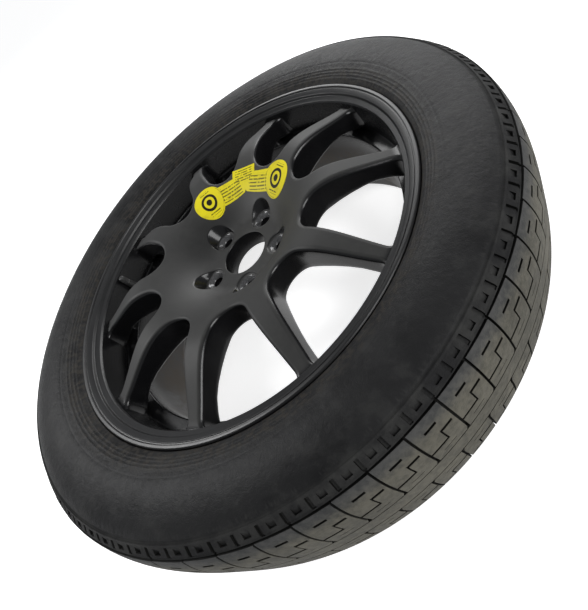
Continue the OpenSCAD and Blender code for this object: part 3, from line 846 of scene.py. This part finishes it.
def tyre_finish():
    """Rubber: black and satin on the sidewall, grey-brown with dust on the tread, and painted shade in
    every cut.
    """
    f = Finish("road_rubber")
    at, x, y, z = f.place()
    r = (x * x + y * y).root() / MM
    height = (z / MM + HUB_FACE).abs()
    cloud = f.noise(at, 9.0, 4.0)
    fine = f.noise(at, 160.0, 3.0)
    grain = f.noise(at, 900.0, 2.0)
    smear = f.noise(at, 34.0, 5.0, 0.65)

    # Where the surface lies: how deep in a cut, on the tread or not, on the sloped band or not
    below_crown = TREAD_R - (height / SHOULDER_Z) ** CROWN_POWER * CROWN_DROP - r
    below_band = BAND_AT - r * BAND_OUT[0] - height * BAND_OUT[1]
    on_crown = 1 - height.between(74.9, 75.5)
    below = below_crown * on_crown + below_band * (1 - on_crown)
    tread = (r - height * 0.35).between(325, 331)
    shoulder = height.between(74.5, 76.0)
    nx, ny, nz = f.facing()
    outward = (nx * x + ny * y) / (r * MM)
    flat = ((outward * BAND_OUT[0]).abs() + (nz * BAND_OUT[1]).abs()).between(0.72, 0.9)
    # Painted shade in the cuts: deep in the crown's cuts, whose floors also lack the tread's dust, and on
    # the walls of the band's cuts
    shade_and_no_dust_in_cuts = below.between(0.15, 0.8) * (1 - shoulder) + (1 - flat) * shoulder * below.between(0.1, 0.3)

    # Sidewall: mottled black, paler smears and radial scuffs near the ridge, brown dust near the bead
    spokewise = f.node("ShaderNodeCombineXYZ", {}, {0: y.angle_to(x) * 40.0, 1: r * 0.02, 2: height * 0.01})
    scuffed = (f.noise(spokewise, 3.0, 3.0) * r.between(338, 358) * (1 - tread)).between(0.42, 0.72)
    black = f.blend(cloud.between(0.38, 0.62), (0.0055, 0.0055, 0.006), (0.015, 0.015, 0.0155))
    black = f.blend((smear.between(0.48, 0.66) * 0.6).high(scuffed * 0.75), black, (0.028, 0.028, 0.0275))
    black = f.blend(r.between(302, 284) * fine.between(0.44, 0.6) * 0.7, black, (0.032, 0.028, 0.023))

    # Tread: worn grey, browner towards the middle, with the sloped band darker
    speck = (cloud * 0.35 + fine * 0.4 + smear * 0.35).between(0.42, 0.68)
    outer = f.blend(speck, (0.026, 0.027, 0.027), (0.053, 0.053, 0.052))
    middle = f.blend(speck, (0.044, 0.042, 0.034), (0.086, 0.081, 0.065))
    band = f.blend(smear.between(0.35, 0.7), (0.011, 0.011, 0.0115), (0.029, 0.029, 0.028))
    tread_colour = f.blend(shoulder, f.blend((height - fine * 14).between(66, 44), outer, middle), band)
    # The cuts get their painted shade, darkened towards black
    tread_colour = f.blend(shade_and_no_dust_in_cuts * 0.93, tread_colour, (0.005, 0.005, 0.0045))
    return f.done(Base_Color=f.blend(tread, black, tread_colour),
                  Roughness=tread * 0.24 + fine * 0.14 + smear * 0.16 + 0.34,
                  Normal=f.bump(grain * 0.5 + fine * 0.9 + smear * 1.4 + cloud * 1.5, 0.0010, 0.6),
                  Specular_IOR_Level=0.14)


def paint_finish():
    """Satin black paint: dusty and dull on the face, glossier on the walls, dirty low in the barrel."""
    f = Finish("satin_black_paint")
    at, x, y, z = f.place()
    upward = f.facing()[2]
    r = (x * x + y * y).root() / MM
    cloud = f.noise(at, 14.0, 4.0)
    fine = f.noise(at, 130.0, 4.0)
    flat = upward.between(0.62, 0.90) * z.between(0.010, 0.022) * (1 - r.between(236, 246))
    lip = r.between(246, 250)
    in_barrel = 1 - z.between(-0.03, 0.0)
    dirt = (1 - z.between(-0.045, -0.005)) * (cloud + fine * 0.5).between(0.55, 0.95) * (1 - lip)
    clean = f.blend(cloud.between(0.4, 0.7), (0.0045, 0.0045, 0.005), (0.008, 0.008, 0.0085))
    dusty = (cloud * 0.7 + fine * 0.4).between(0.35, 0.8)
    dust = f.blend(dusty, (0.010, 0.010, 0.0097), (0.021, 0.021, 0.0195))
    rough = flat * 0.36 + in_barrel * 0.25 + lip * 0.16 + cloud * 0.1 + fine * 0.08 + dirt * 0.2 + 0.13
    return f.done(Base_Color=f.blend(dirt * 0.75, f.blend(flat, clean, dust), (0.05, 0.038, 0.026)),
                  Roughness=rough, Normal=f.bump(f.noise(at, 420.0, 2.0), 0.0002, 0.3),
                  Specular_IOR_Level=0.45)


def seat_finish():
    """The turned metal of the bolt seats, under a little dirt."""
    f = Finish("machined_seat")
    at, *_ = f.place()
    fine = f.noise(at, 900.0, 3.0)
    colour = f.blend(fine.between(0.3, 0.75), (0.06, 0.06, 0.06), (0.18, 0.18, 0.185))
    return f.done(Base_Color=colour, Metallic=0.5, Roughness=fine * 0.15 + 0.15)


def sticker_finish():
    """Yellow film with plain dark rings and bars in the places of its print, and a little grime."""
    f = Finish("printed_film")
    at, px, py, _ = f.place()
    x, y = px / MM, py / MM
    grime = f.noise(at, 60.0, 4.0)
    broken = f.noise(at, 330.0, 1.0)
    band_pitch, fine_pitch = 4.1, 3.4

    def turned_to(cx, cy, degrees):
        c, s = polar(1.0, degrees)
        return (x - cx) * c + (y - cy) * s, (y - cy) * c - (x - cx) * s

    def rows(u, v, u0, u1, v0, v1, pitch):
        """Broken bars along u, a pitch apart."""
        line = ((v / pitch + 50.0).part() * pitch).within(0.30 * pitch, 0.72 * pitch, 0.12)
        return line * u.within(u0, u1) * v.within(v0, v1) * broken.between(0.36, 0.42)

    ink = rows(x, y, -15.0, 15.0, 103.0, 118.5, fine_pitch) * 0.8
    for side, tilt, bars, dots in ((-1, 33.0, (-19.0, 13.0), (-20.6, -18.8)),
                                   (1, -38.0, (-12.0, 18.5), (20.0, 21.8))):
        u, v = turned_to(side * DISC_X, DISC_Y, tilt)
        reach = (u * u + v * v).root()
        rings = reach.within(8.4, 12.2, 0.3).high(reach.within(-1.0, 4.4, 0.3))
        above = rows(u, v, -8.0, 8.0, 13.6, 18.4, fine_pitch)
        below = rows(u, v, -8.5, 8.5, -18.4, -13.6, fine_pitch)
        notes = above.high(below)
        edge = reach.within(21.7, 22.3, 0.2) * broken.between(0.3, 0.4) * (x * -side).between(-52, -50)
        ink = ink.high(rings.high(notes * 0.85).high(edge * 0.6))
        u, v = turned_to(side * 20.0, 96.0, -side * 16.5)
        ink = ink.high(rows(u, v, *bars, -10.5, 9.5, band_pitch) * 0.8)
        dotted = (v / band_pitch + 50.0).part().within(0.2, 0.8, 0.1) * v.within(-10.5, 9.5)
        ink = ink.high(u.within(*dots) * dotted * 0.8)
    base = f.blend(grime.between(0.45, 0.8), (0.80, 0.69, 0.014), (0.60, 0.51, 0.02))
    return f.done(Base_Color=f.blend(ink, base, (0.012, 0.010, 0.004)), Roughness=grime * 0.2 + 0.38,
                  Normal=f.bump(grime, 0.0003, 0.3), Specular_IOR_Level=0.15)


def plain_finish(name, colour, rough, metal=0.0):
    """One colour, a little darker and rougher in places."""
    f = Finish(name)
    at, *_ = f.place()
    fine = f.noise(at, 300.0, 3.0)
    darker = tuple(c * 0.7 for c in colour)
    return f.done(Base_Color=f.blend(fine.between(0.35, 0.7), darker, colour), Metallic=metal,
                  Roughness=fine * 0.15 + rough, Normal=f.bump(fine, 0.0001, 0.4))


def dress(piece, *materials):
    """Sets a piece's finishes slot by slot: clearing the slots would move every face to the first."""
    slots = piece.data.materials
    for k, material in enumerate(materials):
        if k < len(slots):
            slots[k] = material
        else:
            slots.append(material)


# The camera, lights and floor
def camera():
    """The photo's camera, as solved."""
    made = bpy.data.cameras.new("camera")
    made.sensor_width, made.lens = SENSOR, FOCAL * SENSOR / PHOTO_H
    made.shift_x, made.shift_y = (PHOTO_W / 2 - CENTRE_X) / PHOTO_H, (CENTRE_Y - PHOTO_H / 2) / PHOTO_H
    made.clip_start = 0.01
    right = Vector((0.91856, 0.02556, -0.3944))
    down = Vector((-0.13655, -0.91594, -0.3773))
    forward = Vector((-0.37092, 0.40043, -0.8379))
    turn = Matrix((right, -down, -forward)).transposed().to_4x4()
    stand = bpy.data.objects.new("camera", made)
    stand.matrix_world = Matrix.Translation(CAMERA_AT) @ turn
    bpy.context.collection.objects.link(stand)
    bpy.context.scene.camera = stand


def soft_light(name, place, target, size, power):
    """A rectangular lamp that faces a target."""
    made = bpy.data.lights.new(name, "AREA")
    made.shape, made.size, made.size_y, made.energy = "RECTANGLE", *size, power
    lamp = bpy.data.objects.new(name, made)
    lamp.location = place
    lamp.rotation_euler = (Vector(target) - Vector(place)).to_track_quat("-Z", "Y").to_euler()
    bpy.context.collection.objects.link(lamp)


def studio():
    """A pale floor just under the wheel, an even sky and three softboxes."""
    floor_size, gap = 24, 0.0005
    bpy.ops.object.select_all(action="DESELECT")
    bpy.ops.mesh.primitive_plane_add(size=floor_size, location=(0, 0, cad_box[0][2] - gap))
    floor = bpy.context.object
    floor.name = "floor"
    f = Finish("pale_floor")
    dress(floor, f.done(Base_Color=(0.8, 0.8, 0.8, 1), Roughness=0.9, Specular_IOR_Level=0.0,
                        Emission_Color=(1, 1, 1, 1), Emission_Strength=0.74))
    world = bpy.data.worlds.new("studio")
    bpy.context.scene.world = world
    world.use_nodes = True
    world.node_tree.nodes["Background"].inputs[0].default_value = (0.95, 0.97, 1.0, 1)
    world.node_tree.nodes["Background"].inputs[1].default_value = 0.3
    soft_light("left_softbox", (-1.55, 0.0, 1.45), (0, 0, 0), (0.45, 0.45), 17)
    soft_light("far_softbox", (-0.2, 2.2, 1.1), (0, 0.1, 0), (2.4, 1.0), 34)
    soft_light("right_softbox", (1.9, -0.6, 0.9), (0.2, -0.1, 0), (1.4, 1.2), 30)
    bpy.context.scene.view_settings.view_transform = "Standard"


camera()
studio()

rubber, paint, seat, film = tyre_finish(), paint_finish(), seat_finish(), sticker_finish()
valve_black = plain_finish("valve_rubber_black", (0.022, 0.022, 0.022), 0.45)
cap_black = plain_finish("cap_plastic_black", (0.03, 0.03, 0.03), 0.32)
brass = plain_finish("turned_brass", (0.62, 0.43, 0.16), 0.25, 1.0)
steel = plain_finish("spring_wire", (0.5, 0.5, 0.5), 0.3, 1.0)
red_seal = plain_finish("seal_rubber", (0.3, 0.04, 0.03), 0.5)

for make, nodes, material_slot, body, finishes in (
        (tyre, ("tyre",), "tyre", "wheel", (rubber,)),
        (wheel, ("wheel",), "wheel_paint", "wheel", (paint, seat)),
        (sticker, ("sticker",), "sticker", "wheel", (film,)),
        (valve_rubber, ("valve_body",), "valve_rubber", "wheel", (valve_black,)),
        (cap, ("valve_cap",), "cap_plastic", "cap", (cap_black,))):
    piece = make()
    dress(piece, *finishes)
    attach(piece, body)
    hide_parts(*nodes)

kept_nodes = {"valve_stem": brass, "core_plug": brass, "core_pin": brass, "spring_seat": brass,
              "core_spring": steel, "core_gasket": red_seal, "core_cup": red_seal, "cap_seal": red_seal}
for node, finish in kept_nodes.items():
    dress(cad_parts[node], finish)
